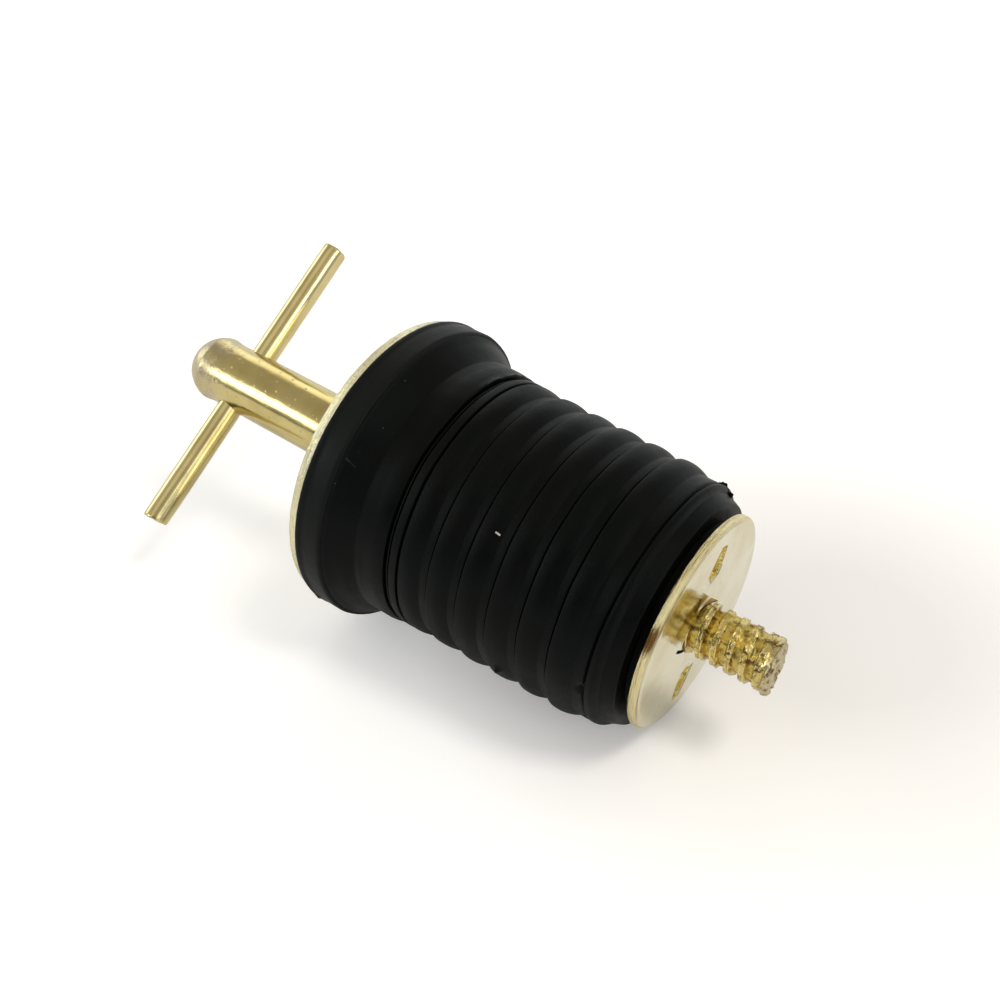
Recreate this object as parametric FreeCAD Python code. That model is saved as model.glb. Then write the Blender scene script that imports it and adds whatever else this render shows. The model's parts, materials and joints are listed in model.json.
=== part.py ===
import FreeCAD, Part
import math
import os

# Expanding drain plug: a rubber bung squeezed between two brass plates by a screw with a T handle.
# All sizes are millimetres. A station is a distance along the screw from the bung's top face,
# positive towards the thread and negative towards the handle.

# Screw: domed head, shank with a shoulder, plain rod and coarse thread
handle_height = 32.9
head_radius = 4.1
head_dome_height = 3.4
head_step_length = 0.35
shank_radius = 3.98
rod_radius = 3.1
thread_start = 27.0
thread_end = 47.3
thread_pitch = 1.5875
thread_major_radius = 3.05
thread_minor_radius = 2.4
thread_crest_width = 0.58
thread_flank_angle = 14.5
thread_phase = -15.0
thread_ridge_sink = 0.5
peened_end_radius = 2.9
peened_end_length = 0.8
peened_end_bevel = 0.25

# Cross pin through the head
pin_radius = 1.56
pin_length = 40.6
pin_station = -25.05
pin_end_bevel = 0.2

# Brass plates at the two ends of the bung
washer_radius = 17.26
washer_thickness = 1.25
end_plate_radius = 12.05
end_plate_thickness = 1.0
plate_edge_round = 0.15

# Lanced slots in the end plate, and the prongs bent out of them into the rubber
slot_base_along_pin = 3.1
slot_base_across_pin = 5.2
slot_angle = 15.7
slot_length = 4.6
slot_base_width = 2.2
slot_tip_width = 0.5
prong_length = 4.0
prong_root_width = 1.5
prong_tip_width = 0.4

# Rubber bung, from the lip under the washer to the nose under the end plate
bung_length = 38.0
lip_radius = 17.8
lip_height = 0.7
flange_radius = 17.62
flange_end = 3.3
flange_edge_round = 0.4
shoulder_length = 2.95
shoulder_hollow = 0.06
neck_length = 1.85
neck_radius = 15.4
neck_taper_length = 1.75
neck_edge_round = 0.08
slit_count = 2
slit_width = 0.28
slit_depth = 0.9
slit_land = 0.17
first_land_length = 0.92
first_rib_radius = 15.1
last_rib_radius = 14.55
rib_count = 6
rib_wall_width = 0.15
rib_wall_drop = 0.05
rib_land_length = 0.95
rib_land_drop = 0.58
rib_crown = 0.21
crease_depth = 0.9
crease_flank = 0.15
tail_length = 5.3
tail_step_length = 0.25
tail_radius = 13.85
tail_crease_offset = 1.35
tail_crease_depth = 0.3
tail_crease_width = 0.4
end_band_length = 2.15
nose_edge_length = 0.65
nose_edge_radius = 13.2
nose_edge_round = 0.1
nose_end_radius = 12.6
nose_seat_height = 1.1
nose_seat_radius = 10.6

# Stations along the bung that follow from its lengths: the ribs share the room from the slits to the tail
shoulder_end = flange_end + shoulder_length
neck_end = shoulder_end + neck_length
slit_start = neck_end + neck_taper_length
slits_end = slit_start + slit_count * (slit_width + slit_land) - slit_land
first_crease = slits_end + first_land_length + crease_flank
tail_start = bung_length - tail_length
tail_crease_start = tail_start + tail_crease_offset
end_band_end = tail_start + end_band_length
nose_end = bung_length - nose_seat_height
rib_room = tail_start - tail_step_length - first_crease + rib_land_length + crease_flank
rib_pitch = rib_room / rib_count
rib_crown_end = rib_pitch - rib_land_length - crease_flank

# Clearances between pieces
washer_hole_clearance = 0.15
bung_bore_clearance = 0.25
shoulder_seat_clearance = 0.02
thread_clearance = 0.08
prong_pocket_clearance = 0.1

# How the plug lies: turn of the T handle about the screw, seen from the handle end
handle_turn = 127.9

# Sweeps and cuts run past the pieces by this much
overshoot = 1.0


def shoulder_station():
    """Station of the shank's shoulder, just above the top washer."""
    return -washer_thickness - shoulder_seat_clearance


def rib_radius(index):
    """Crest radius of a rib: the bung tapers evenly from the first rib to the last."""
    share = index / max(rib_count - 1, 1)
    return first_rib_radius + share * (last_rib_radius - first_rib_radius)


def crease_station(index):
    """Station of the crease that a rib starts from, on its side towards the handle."""
    return first_crease + index * rib_pitch


def crown_circle(index):
    """Centre station, centre radius and size of the circle that a rib's crown is an arc of."""
    length = rib_crown_end - rib_wall_width
    fall = rib_land_drop - rib_wall_drop
    half_chord = math.hypot(length, fall) / 2
    size = (half_chord ** 2 + rib_crown ** 2) / (2 * rib_crown)
    inward = (size - rib_crown) / (2 * half_chord)
    middle = crease_station(index) + (rib_wall_width + rib_crown_end) / 2
    height = rib_radius(index) - (rib_wall_drop + rib_land_drop) / 2
    return middle - fall * inward, height - length * inward, size


def edge_bulge(rounding):
    """Height of a quarter round over its chord."""
    return rounding * (1 - math.sqrt(0.5))


def dome_bulge(height, radius):
    """Height over its chord of the arc of a dome that is level at its top."""
    sphere_radius = (radius ** 2 + height ** 2) / (2 * height)
    half_chord = math.hypot(radius, height) / 2
    return sphere_radius - math.sqrt(sphere_radius ** 2 - half_chord ** 2)


class Outline:
    """A closed outline of stations and radii, turned about the screw's axis into a solid."""

    def __init__(self, station, radius):
        self.first = FreeCAD.Vector(radius, 0, station)
        self.last = self.first
        self.edges = []

    def line(self, station, radius):
        end = FreeCAD.Vector(radius, 0, station)
        self.edges.append(Part.LineSegment(self.last, end).toShape())
        self.last = end

    def arc(self, station, radius, bulge):
        """An arc to the given point. A positive bulge stands out from the straight line."""
        end = FreeCAD.Vector(radius, 0, station)
        chord = end - self.last
        outward = FreeCAD.Vector(chord.z, 0, -chord.x).normalize()
        middle = (self.last + end) * 0.5 + outward * bulge
        self.edges.append(Part.Arc(self.last, middle, end).toShape())
        self.last = end

    def turned(self):
        self.edges.append(Part.LineSegment(self.last, self.first).toShape())
        face = Part.Face(Part.Wire(self.edges))
        return face.revolve(FreeCAD.Vector(0, 0, 0), FreeCAD.Vector(0, 0, 1), 360)


def disc(radius, start, end):
    base = FreeCAD.Vector(0, 0, start)
    return Part.makeCylinder(radius, end - start, base, FreeCAD.Vector(0, 0, 1))


def thread_form(start, end, growth):
    """Core and helical ridge of the thread between two stations, enlarged by growth all round."""
    root = thread_minor_radius + growth
    crest = thread_major_radius + growth
    slope = math.tan(math.radians(thread_flank_angle))
    crest_half = thread_crest_width / 2 + growth
    sunk = root - thread_ridge_sink
    sunk_half = crest_half + (crest - sunk) * slope
    turns_before = math.ceil(overshoot / thread_pitch) + 1
    run_in = turns_before * thread_pitch
    base = math.floor(start / thread_pitch) * thread_pitch - run_in
    height = end - base + run_in
    corners = [(sunk, -sunk_half), (crest, -crest_half), (crest, crest_half), (sunk, sunk_half)]
    points = [FreeCAD.Vector(r, 0, s) for r, s in corners]
    profile = Part.makePolygon(points + points[:1])
    helix = Part.makeHelix(thread_pitch, height, root)
    ridge = Part.Wire(helix).makePipeShell([profile], True, True)
    ridge.translate(FreeCAD.Vector(0, 0, base))
    ridge.rotate(FreeCAD.Vector(0, 0, 0), FreeCAD.Vector(0, 0, 1), thread_phase)
    whole = ridge.fuse(disc(root, base - run_in, base + height + run_in))
    return whole.common(disc(crest + overshoot, start, end))


def handle_screw():
    outline = Outline(-handle_height, 0)
    dome_end = head_dome_height - handle_height
    outline.arc(dome_end, head_radius, dome_bulge(head_dome_height, head_radius))
    outline.line(dome_end + head_step_length, shank_radius)
    outline.line(shoulder_station(), shank_radius)
    outline.line(shoulder_station(), rod_radius)
    outline.line(thread_start, rod_radius)
    outline.line(thread_start, 0)
    body = outline.turned()
    peened = Outline(thread_end, 0)
    peened.line(thread_end, peened_end_radius)
    peened.line(thread_end + peened_end_length - peened_end_bevel, peened_end_radius)
    peened.line(thread_end + peened_end_length, peened_end_radius - peened_end_bevel)
    peened.line(thread_end + peened_end_length, 0)
    thread = thread_form(thread_start - thread_pitch / 2, thread_end, 0)
    screw = body.fuse([thread, peened.turned()]).removeSplitter()
    return screw.cut(pin_hole())


def pin_hole():
    base = FreeCAD.Vector(-pin_length / 2, 0, pin_station)
    return Part.makeCylinder(pin_radius, pin_length, base, FreeCAD.Vector(1, 0, 0))


def cross_pin():
    pin = pin_hole()
    ends = [e for e in pin.Edges if isinstance(e.Curve, Part.Circle)]
    return pin.makeChamfer(pin_end_bevel, ends)


def top_washer():
    hole_radius = rod_radius + washer_hole_clearance
    outline = Outline(-washer_thickness, hole_radius)
    outline.line(-washer_thickness, washer_radius - plate_edge_round)
    outline.arc(plate_edge_round - washer_thickness, washer_radius, edge_bulge(plate_edge_round))
    outline.line(0, washer_radius)
    outline.line(0, hole_radius)
    return outline.turned()


def slot_frame(shape):
    """Moves a shape made at the origin, along X, to the first slot's inner end and direction."""
    shape.rotate(FreeCAD.Vector(0, 0, 0), FreeCAD.Vector(0, 0, 1), slot_angle)
    shape.translate(FreeCAD.Vector(slot_base_along_pin, slot_base_across_pin, bung_length))
    return shape


def opposite(shape):
    """The same shape on the other side of the screw."""
    other = shape.copy()
    other.rotate(FreeCAD.Vector(0, 0, 0), FreeCAD.Vector(0, 0, 1), 180)
    return other


def slot_opening():
    """Tapered opening that a prong was lanced from, through the end plate's thickness."""
    half_base = slot_base_width / 2
    half_tip = slot_tip_width / 2
    corners = [
        (0, -half_base),
        (slot_length, -half_tip),
        (slot_length, half_tip),
        (0, half_base),
    ]
    points = [FreeCAD.Vector(x, y, -overshoot) for x, y in corners]
    face = Part.Face(Part.makePolygon(points + points[:1]))
    return slot_frame(face.extrude(FreeCAD.Vector(0, 0, end_plate_thickness + 2 * overshoot)))


def prong(growth):
    """A pointed tab: a quarter bend out of the plate, then straight into the rubber."""
    half_root = prong_root_width / 2 + growth
    bent = prong_side(growth)
    bent.translate(FreeCAD.Vector(0, -half_root, 0))
    bent = bent.extrude(FreeCAD.Vector(0, 2 * half_root, 0))
    front = prong_front(growth)
    front.translate(FreeCAD.Vector(-overshoot, 0, 0))
    pointed = front.extrude(FreeCAD.Vector(end_plate_thickness + 3 * overshoot, 0, 0))
    return slot_frame(bent.common(pointed))


def prong_side(growth):
    """Face across a prong: the quarter bend and the straight leg below it."""
    outside = end_plate_thickness + growth
    middle = outside * math.sqrt(0.5)
    bend = Part.Arc(
        FreeCAD.Vector(-growth, 0, outside),
        FreeCAD.Vector(middle, 0, middle),
        FreeCAD.Vector(outside, 0, 0),
    )
    depth = prong_length + growth
    corners = [(outside, 0), (outside, -depth), (-growth, -depth), (-growth, outside)]
    leg = Part.makePolygon([FreeCAD.Vector(x, 0, z) for x, z in corners])
    return Part.Face(Part.Wire([bend.toShape(), leg]))


def prong_front(growth):
    """Face along a prong: as wide as its root at the plate, and narrow at its tip."""
    half_root = prong_root_width / 2 + growth
    half_tip = prong_tip_width / 2 + growth
    top = end_plate_thickness + overshoot
    depth = prong_length + growth
    corners = [
        (-half_root, top),
        (half_root, top),
        (half_root, 0),
        (half_tip, -depth),
        (-half_tip, -depth),
        (-half_root, 0),
    ]
    points = [FreeCAD.Vector(0, y, z) for y, z in corners]
    return Part.Face(Part.makePolygon(points + points[:1]))


def end_plate():
    outline = Outline(bung_length, 0)
    face_station = bung_length + end_plate_thickness
    outline.line(bung_length, end_plate_radius)
    outline.line(face_station - plate_edge_round, end_plate_radius)
    outline.arc(face_station, end_plate_radius - plate_edge_round, edge_bulge(plate_edge_round))
    outline.line(face_station, 0)
    plate = outline.turned()
    tapped = thread_form(bung_length - overshoot, face_station + overshoot, thread_clearance)
    slot = slot_opening()
    tab = prong(0)
    plate = plate.cut([tapped, slot, opposite(slot)])
    return plate.fuse([tab, opposite(tab)]).removeSplitter()


def add_slits(outline):
    """Fine slits side by side, cut into the land between the neck and the first rib."""
    bottom = first_rib_radius - slit_depth
    for index in range(slit_count):
        start = slit_start + index * (slit_width + slit_land)
        if index > 0:
            outline.line(start, first_rib_radius)
        outline.line(start, bottom)
        outline.line(start + slit_width, bottom)
        outline.line(start + slit_width, first_rib_radius)


def add_ribs(outline):
    """Ribs like shingles: a thin crease, a steep wall, a crown that falls away, and a flat land."""
    land_radius = first_rib_radius
    for index in range(rib_count):
        radius = rib_radius(index)
        crease = crease_station(index)
        outline.line(crease - crease_flank, land_radius)
        outline.line(crease, radius - crease_depth)
        outline.line(crease + rib_wall_width, radius - rib_wall_drop)
        land_radius = radius - rib_land_drop
        outline.arc(crease + rib_crown_end, land_radius, rib_crown)


def add_nose(outline):
    """The plain tail of the last rib, a crease, the end band, the tapered nose and the plate's seat."""
    crease_middle = tail_crease_start + tail_crease_width / 2
    outline.line(tail_start, tail_radius)
    outline.line(tail_crease_start, tail_radius)
    outline.line(crease_middle, tail_radius - tail_crease_depth)
    outline.line(tail_crease_start + tail_crease_width, tail_radius)
    outline.line(end_band_end, tail_radius)
    outline.arc(end_band_end + nose_edge_length, nose_edge_radius, nose_edge_round)
    outline.line(nose_end, nose_end_radius)
    outline.line(nose_end, nose_seat_radius)
    outline.line(bung_length, nose_seat_radius)


def rubber_bung():
    bore_radius = rod_radius + bung_bore_clearance
    outline = Outline(0, bore_radius)
    lip_bulge = (lip_radius - flange_radius) / 2
    edge_start = flange_end - flange_edge_round
    edge_radius = flange_radius - flange_edge_round
    outline.line(0, flange_radius)
    outline.arc(lip_height, flange_radius, lip_bulge)
    outline.line(edge_start, flange_radius)
    outline.arc(flange_end, edge_radius, edge_bulge(flange_edge_round))
    outline.arc(shoulder_end, neck_radius, -shoulder_hollow)
    outline.line(neck_end, neck_radius)
    outline.arc(slit_start, first_rib_radius, neck_edge_round)
    add_slits(outline)
    add_ribs(outline)
    add_nose(outline)
    outline.line(bung_length, bore_radius)
    pocket = prong(prong_pocket_clearance)
    return outline.turned().cut([pocket, opposite(pocket)])


def rest_tilt():
    """Angle between the screw and the floor when the plug lies on its flange and its ribs."""
    heel = flange_end - flange_edge_round
    touching = [crown_circle(index) for index in range(rib_count)]
    touching.append((end_band_end, tail_radius, 0))
    angles = []
    for station, radius, size in touching:
        away = math.hypot(station - heel, flange_radius - radius)
        drop = math.atan2(flange_radius - radius, station - heel)
        angles.append(drop - math.asin(size / away))
    return math.degrees(min(angles))


def lying_placement(shapes):
    """Turns the upright model so that it lies on the floor, centred over the origin."""
    turn = FreeCAD.Rotation(FreeCAD.Vector(0, 0, 1), handle_turn)
    lay = FreeCAD.Rotation(FreeCAD.Vector(0, 1, 0), 90 + rest_tilt())
    rotation = lay.multiply(turn)
    turned = FreeCAD.Placement(FreeCAD.Vector(), rotation).toMatrix()
    laid = Part.makeCompound([shape.transformed(turned) for shape in shapes])
    box = laid.optimalBoundingBox(False, False)
    move = FreeCAD.Vector(-box.Center.x, -box.Center.y, -box.ZMin)
    return FreeCAD.Placement(move, rotation)


def build():
    pieces = {
        "handle_screw": handle_screw(),
        "cross_pin": cross_pin(),
        "top_washer": top_washer(),
        "rubber_bung": rubber_bung(),
        "end_plate": end_plate(),
    }
    placement = lying_placement(pieces.values())
    matrix = placement.toMatrix()
    placed = {name: shape.transformed(matrix) for name, shape in pieces.items()}
    return placed, placement


def main():
    os.makedirs("parts", exist_ok=True)
    pieces, placement = build()
    for name, shape in pieces.items():
        shape.exportStep(os.path.join("parts", name + ".step"))
        print(name, "volume", round(shape.Volume, 3), "solids", len(shape.Solids))
        print(name, "valid", shape.isValid())
    print("tilt", round(rest_tilt(), 4), "move", placement.Base)


main()
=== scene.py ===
import itertools
import json
import math

import bmesh
import bpy
import numpy as np
from mathutils import Matrix, Vector


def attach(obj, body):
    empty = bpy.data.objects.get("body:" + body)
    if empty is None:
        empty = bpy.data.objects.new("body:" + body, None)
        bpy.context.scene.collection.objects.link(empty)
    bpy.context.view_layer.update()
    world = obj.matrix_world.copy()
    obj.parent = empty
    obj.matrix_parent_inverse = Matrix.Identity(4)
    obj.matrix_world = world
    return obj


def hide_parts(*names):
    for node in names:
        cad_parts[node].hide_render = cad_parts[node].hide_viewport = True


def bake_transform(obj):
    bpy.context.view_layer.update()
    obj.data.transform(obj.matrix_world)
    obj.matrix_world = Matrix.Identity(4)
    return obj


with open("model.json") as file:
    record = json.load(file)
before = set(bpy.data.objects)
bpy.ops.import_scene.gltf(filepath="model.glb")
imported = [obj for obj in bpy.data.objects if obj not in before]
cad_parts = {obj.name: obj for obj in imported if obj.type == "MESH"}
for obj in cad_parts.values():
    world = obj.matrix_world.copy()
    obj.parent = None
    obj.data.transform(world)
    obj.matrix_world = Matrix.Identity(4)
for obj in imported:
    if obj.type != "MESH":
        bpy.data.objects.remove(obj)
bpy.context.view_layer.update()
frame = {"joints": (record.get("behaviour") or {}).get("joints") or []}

# Lengths are millimetres until a mesh is made. A station is a distance along the screw from the
# bung's top face, positive towards the thread. Angles about the screw are in degrees.
MM = 0.001
HANDLE_TURN = 127.9

# Screw
HANDLE_HEIGHT = 32.9
HEAD_RADIUS = 4.1
HEAD_DOME_HEIGHT = 3.4
HEAD_STEP_LENGTH = 0.35
SHANK_RADIUS = 3.98
ROD_RADIUS = 3.1
THREAD_START = 27.0
THREAD_END = 47.3
THREAD_PITCH = 1.5875
THREAD_CREST_RADIUS = 3.05
THREAD_ROOT_RADIUS = 2.4
THREAD_CREST_WIDTH = 0.58
THREAD_BASE_WIDTH = 0.916
THREAD_PHASE = -15
THREAD_SEAM = 0.13
THREAD_RUNOUT = 0.35
CRUSHED_START = 40.4
CRUSHED_ANGLE = 57
CRUSHED_FILL = 0.17
PEENED_RADIUS = 2.9
PEENED_LENGTH = 0.8
PEENED_LEAN = 0.3
PEENED_LEAN_ANGLE = 172

# Cross pin
PIN_RADIUS = 1.56
PIN_LENGTH = 40.6
PIN_STATION = -25.05

# Brass plates
WASHER_RADIUS = 17.26
WASHER_THICKNESS = 1.25
WASHER_HOLE_RADIUS = 3.25
PLATE_RADIUS = 12.05
PLATE_THICKNESS = 1.0
SLOT_BASE = (3.1, 5.2)
SLOT_ANGLE = 15.7
SLOT_CORNERS = ((0, -0.75), (1.2, -1.8), (2.6, -1.5), (4.5, -0.4), (4.1, 1.2), (1.7, 1.1), (0, 0.75))
SLOT_FLOOR = 0.3
PRONG_LENGTH = 4.0
PRONG_ROOT_WIDTH = 1.5
PRONG_TIP_WIDTH = 0.4
PLATE_BEVEL = 0.07
PLATE_BEVEL_ANGLE = 50

# Clearances: under the shoulder, round the pin, on the thread and round the prongs in the rubber
SHOULDER_GAP = 0.02
PIN_CLEARANCE = 0.015
TAPPED_CLEARANCE = 0.08
PRONG_CLEARANCE = 0.1

# A fin of burred metal beside the tapped hole
BURR_ANGLES = (80, 36)
BURR_HEIGHT = 0.85
BURR_RADIUS = 3.22
BURR_LEAN = 0.12
BURR_THICKNESS = 0.14
BURR_ROWS = 16

# Rubber bung
BUNG_LENGTH = 38.0
BORE_RADIUS = 3.35
LIP_RADIUS = 17.8
LIP_HEIGHT = 0.7
FLANGE_RADIUS = 17.62
FLANGE_END = 3.3
FLANGE_EDGE_ROUND = 0.4
SHOULDER_END = 6.25
SHOULDER_HOLLOW = 0.06
NECK_RADIUS = 15.4
NECK_END = 8.1
NECK_EDGE_ROUND = 0.08
SLIT_STARTS = (9.85, 10.3)
SLIT_WIDTH = 0.28
SLIT_DEPTH = 0.9
SLIT_WEB_DROP = 0.2
SLIT_TAPER = 0.05
FIRST_CREASE = 11.65
FIRST_RIB_RADIUS = 15.1
LAST_RIB_RADIUS = 14.55
RIB_COUNT = 6
RIB_PITCH = 3.65
RIB_WALL_WIDTH = 0.15
RIB_WALL_DROP = 0.05
RIB_CROWN_END = 2.55
RIB_LAND_DROP = 0.58
RIB_CROWN = 0.21
CREASE_DEPTH = 0.9
CREASE_FLANK = 0.15
TAIL_START = 32.7
TAIL_RADIUS = 13.85
TAIL_CREASE_START = 34.05
TAIL_CREASE_DEPTH = 0.3
TAIL_CREASE_WIDTH = 0.4
TAIL_CREASE_SLANT = 0.3
TAIL_CREASE_SLANT_ANGLE = 139
END_BAND_END = 34.85
NOSE_EDGE_LENGTH = 0.65
NOSE_EDGE_RADIUS = 13.2
NOSE_EDGE_ROUND = 0.1
NOSE_END = 36.9
NOSE_END_RADIUS = 12.6
NOSE_SEAT_RADIUS = 10.6

# Meshes: points around each piece, longest runs along the bung, sharp edges and merged points
SHANK_COLUMNS = 128
THREAD_COLUMNS = 96
TAPPED_COLUMNS = 72
PIN_COLUMNS = 72
PIN_HOLE_COLUMNS = 64
WASHER_COLUMNS = 256
PLATE_COLUMNS = 192
BUNG_COLUMNS = 224
SKIN_STEP = 0.4
BORE_STEP = 3.0
SHARP_ANGLE = 38
MERGE_DISTANCE = 1e-4
SLIVER_LENGTH = 1e-5

# A torn strip of flash on the nose
FLASH_ANGLE = 140
FLASH_ENDS = (34.1, 36.0)
FLASH_HEIGHT = 0.42
FLASH_THICKNESS = 0.3
FLASH_ROWS = 20

# Lumps of flash and one chip on the rubber: station, reach along the screw, angle, spread and height
LUMPS = (
    (24.0, 0.5, 296, 3, 0.5),
    (0.45, 0.5, 305, 2.5, 0.22),
    (33.9, 0.5, 278, 3, -0.45),
)

# Marks: a shred and a painted dark reflection on the end plate, then a sliver, dust and a scratch on
# the rubber
SHRED_CORNERS = ((-3.76, 2.30, 39.0), (-3.55, 1.54, 39.0), (-3.30, 0.91, 39.0), (-3.05, 0.37, 39.0))
DARK_REFLECTION_PLACE = (-5.1, 10.9, 38.5)
FLECK_PLACES = ((-9.00, -11.455, 20.80), (-8.95, -11.44, 20.98), (-8.89, -11.41, 21.15))
DUST_PLACES = ((-12.78, -9.9, 5.0), (-10.86, -12.61, 4.24), (-7.87, -15.23, 3.43),
               (-15.93, -5.38, 3.96))
SCRATCH_CORNERS = ((-10.85, -13.73, 3.3), (-10.2, -13.69, 3.54), (-9.87, -13.59, 3.99),
                   (-9.54, -13.45, 4.48))

# Colours of the brass, as linear RGB
SHANK_PALE = (0.69, 0.575, 0.255)
SHANK_DARK = (0.57, 0.465, 0.19)
PIN_PALE = (0.74, 0.63, 0.32)
PIN_DARK = (0.64, 0.53, 0.25)
SHEET_PALE = (0.92, 0.87, 0.67)
SHEET_DARK = (0.80, 0.72, 0.48)
HEAD_TARNISH = (0.56, 0.48, 0.32)
# The next colour is the thread roots' gold, darkened as painted shade
SHADED_ROOT_GOLD = (0.66, 0.50, 0.13)
CREST_GOLD = (0.82, 0.70, 0.35)
THREAD_DIRT = (0.22, 0.14, 0.045)
PEENED_BRASS = (0.60, 0.52, 0.32)
PEENED_PIT = (0.06, 0.04, 0.015)
RIM_GOLD = (0.90, 0.79, 0.44)
RIM_BROWN = (0.52, 0.37, 0.13)
# The next colour is a painted dark reflection on the end plate's rim
RIM_DARK_REFLECTION = (0.20, 0.10, 0.03)
WASHER_CREAM = (0.96, 0.90, 0.60)
WASHER_BROWN = (0.66, 0.55, 0.27)
WASHER_SPECK = (0.50, 0.40, 0.18)
# The next colour is a painted golden reflection inside the end plate's slots
SLOT_PAINTED_REFLECTION = (0.88, 0.74, 0.30)
BURR_BROWN = (0.40, 0.26, 0.09)

# Colours of the rubber and of what lies on it
SHRED_BLACK = (0.001, 0.001, 0.001)
RUBBER_COOL = (0.0007, 0.0012, 0.0013)
RUBBER_WARM = (0.0023, 0.0018, 0.0015)
RUBBER_SHEEN = (0.84, 1.0, 0.97)
RUBBER_SPECULAR = 0.1
# The next colour is a painted sheen on the flange
FLANGE_PAINTED_SHEEN = (0.0068, 0.0074, 0.0072)
MARK_GREY = (0.06, 0.06, 0.06)
DUST_GREY = (0.14, 0.13, 0.12)
FLECK_WHITE = (0.60, 0.58, 0.52)

# Borders between looks: stations or radii where one starts and the next is complete
HEAD_BORDER = (-25.5, -22.0)
HEAD_BORDER_SWAY = 7.0
CREST_BORDER = (2.75, 3.0)
END_PLATE_BORDER = (20, 21)
PLATE_RIM_BORDER = (11.55, 11.9)
WASHER_RIM_BORDER = (16.85, 17.15)
SLOT_BORDER = (10.0, 10.5)
# The next border is where the painted dark reflection on the end plate's rim fades out
DARK_REFLECTION_BORDER = (2.6, 3.6)


# Places: the screw's axis is the frame's hinge, and local points go from there to the row frame

def screw_frame(turn):
    """Matrix from local millimetres, with Z along the screw, to the row frame in metres."""
    joint = next(j for j in frame["joints"] if j["type"] == "hinge")
    axis = Vector(joint["axis"])
    lay = Matrix.Rotation(math.atan2(axis.x, axis.z), 4, "Y")
    spin = Matrix.Rotation(math.radians(turn), 4, "Z")
    return Matrix.Translation(Vector(joint["pos_m"])) @ lay @ spin @ Matrix.Scale(MM, 4)


def noise(points, size, seed):
    """Smooth noise from -1 to 1 with lumps of about the given size, the same on every run."""
    scaled = points / size + seed * 17.31
    cell = np.floor(scaled).astype(np.int64)
    part = scaled - cell
    part = part * part * (3 - 2 * part)
    total = np.zeros(len(points))
    for corner in itertools.product((0, 1), repeat=3):
        key = (cell + np.array(corner)) * np.array([73856093, 19349663, 83492791])
        mixed = np.bitwise_xor.reduce(key, axis=1) & 0xFFFFFFFF
        for shift, factor in ((15, 2246822519), (13, 3266489917)):
            mixed = ((mixed ^ (mixed >> shift)) * factor) & 0xFFFFFFFF
        value = (mixed ^ (mixed >> 16)) / 0x7FFFFFFF - 1
        total += value * np.prod(np.where(corner, part, 1 - part), axis=1)
    return total


def near(values, centre, width):
    """A smooth hump: 1 at the centre and 0 beyond the width."""
    share = np.clip(1 - np.abs(values - centre) / width, 0, 1)
    return share * share * (3 - 2 * share)


def near_angle(angles, centre, width):
    """The same hump about the screw, where 360 degrees is 0 again."""
    return near((angles - centre + 180) % 360 - 180, 0, width)


# Outlines: corners are (station, radius, rounding), and the path between them is dense

def rounded_path(corners, step):
    """Points along an outline, with its corners rounded and no run longer than the step."""
    places = [np.array(corner[:2], float) for corner in corners]
    path = [places[0]]
    for index in range(1, len(corners) - 1):
        here, rounding = places[index], corners[index][2]
        if rounding == 0:
            path.append(here)
            continue
        back, ahead = places[index - 1] - here, places[index + 1] - here
        start = here + back * min(rounding / np.linalg.norm(back), 0.5)
        end = here + ahead * min(rounding / np.linalg.norm(ahead), 0.5)
        for t in np.linspace(0, 1, 5):
            path.append((1 - t) ** 2 * start + 2 * t * (1 - t) * here + t * t * end)
    path.append(places[-1])
    return divided(path, step)


def divided(path, step):
    """The same path with no run longer than the step."""
    dense = [path[0]]
    for here, ahead in zip(path, path[1:]):
        length = np.linalg.norm(ahead - here)
        if length < 1e-6:
            continue
        count = max(1, math.ceil(length / step))
        for share in np.arange(1, count + 1) / count:
            dense.append(here + (ahead - here) * share)
    return np.array(dense)


def bulged(start, end, bulge, count):
    """Corners along a shallow arc between two (station, radius) points, without its start."""
    start, end = np.array(start, float), np.array(end, float)
    chord = end - start
    outward = np.array([-chord[1], chord[0]]) / np.linalg.norm(chord)
    share = np.arange(1, count + 1)[:, None] / count
    arc = start + chord * share + outward * bulge * 4 * share * (1 - share)
    return [(*corner, 0) for corner in arc]


# Meshes

def grid_faces(rows, columns, closed=True):
    """Quads of a grid of points. A closed grid joins its last column to its first."""
    faces = []
    for row in range(rows - 1):
        for column in range(columns if closed else columns - 1):
            here = row * columns + column
            beside = row * columns + (column + 1) % columns
            faces.append((here, beside, beside + columns, here + columns))
    return faces


def prism_faces(count):
    """Faces between two like polygons, with both of them."""
    faces = [tuple(range(count)), tuple(range(count, 2 * count))]
    for index in range(count):
        beside = (index + 1) % count
        faces.append((index, beside, beside + count, index + count))
    return faces


def closed_mesh(name, points, faces, fill=False):
    """A mesh with doubled points merged, slivers dropped and every face turned outwards."""
    mesh = bpy.data.meshes.new(name)
    mesh.from_pydata(points.tolist(), [], faces)
    bm = bmesh.new()
    bm.from_mesh(mesh)
    bmesh.ops.remove_doubles(bm, verts=bm.verts, dist=MERGE_DISTANCE)
    if fill:
        loose = [vert for vert in bm.verts if not vert.link_faces]
        bmesh.ops.delete(bm, geom=loose, context="VERTS")
        bmesh.ops.holes_fill(bm, edges=[edge for edge in bm.edges if edge.is_boundary])
    bmesh.ops.dissolve_degenerate(bm, edges=bm.edges, dist=SLIVER_LENGTH)
    bmesh.ops.recalc_face_normals(bm, faces=bm.faces)
    bm.to_mesh(mesh)
    bm.free()
    return mesh


def linked(name, data):
    """A new object of the scene."""
    item = bpy.data.objects.new(name, data)
    bpy.context.scene.collection.objects.link(item)
    return item


def scratch_object(name, points, faces, fill=False):
    return linked(name, closed_mesh(name, points, faces, fill))


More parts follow.
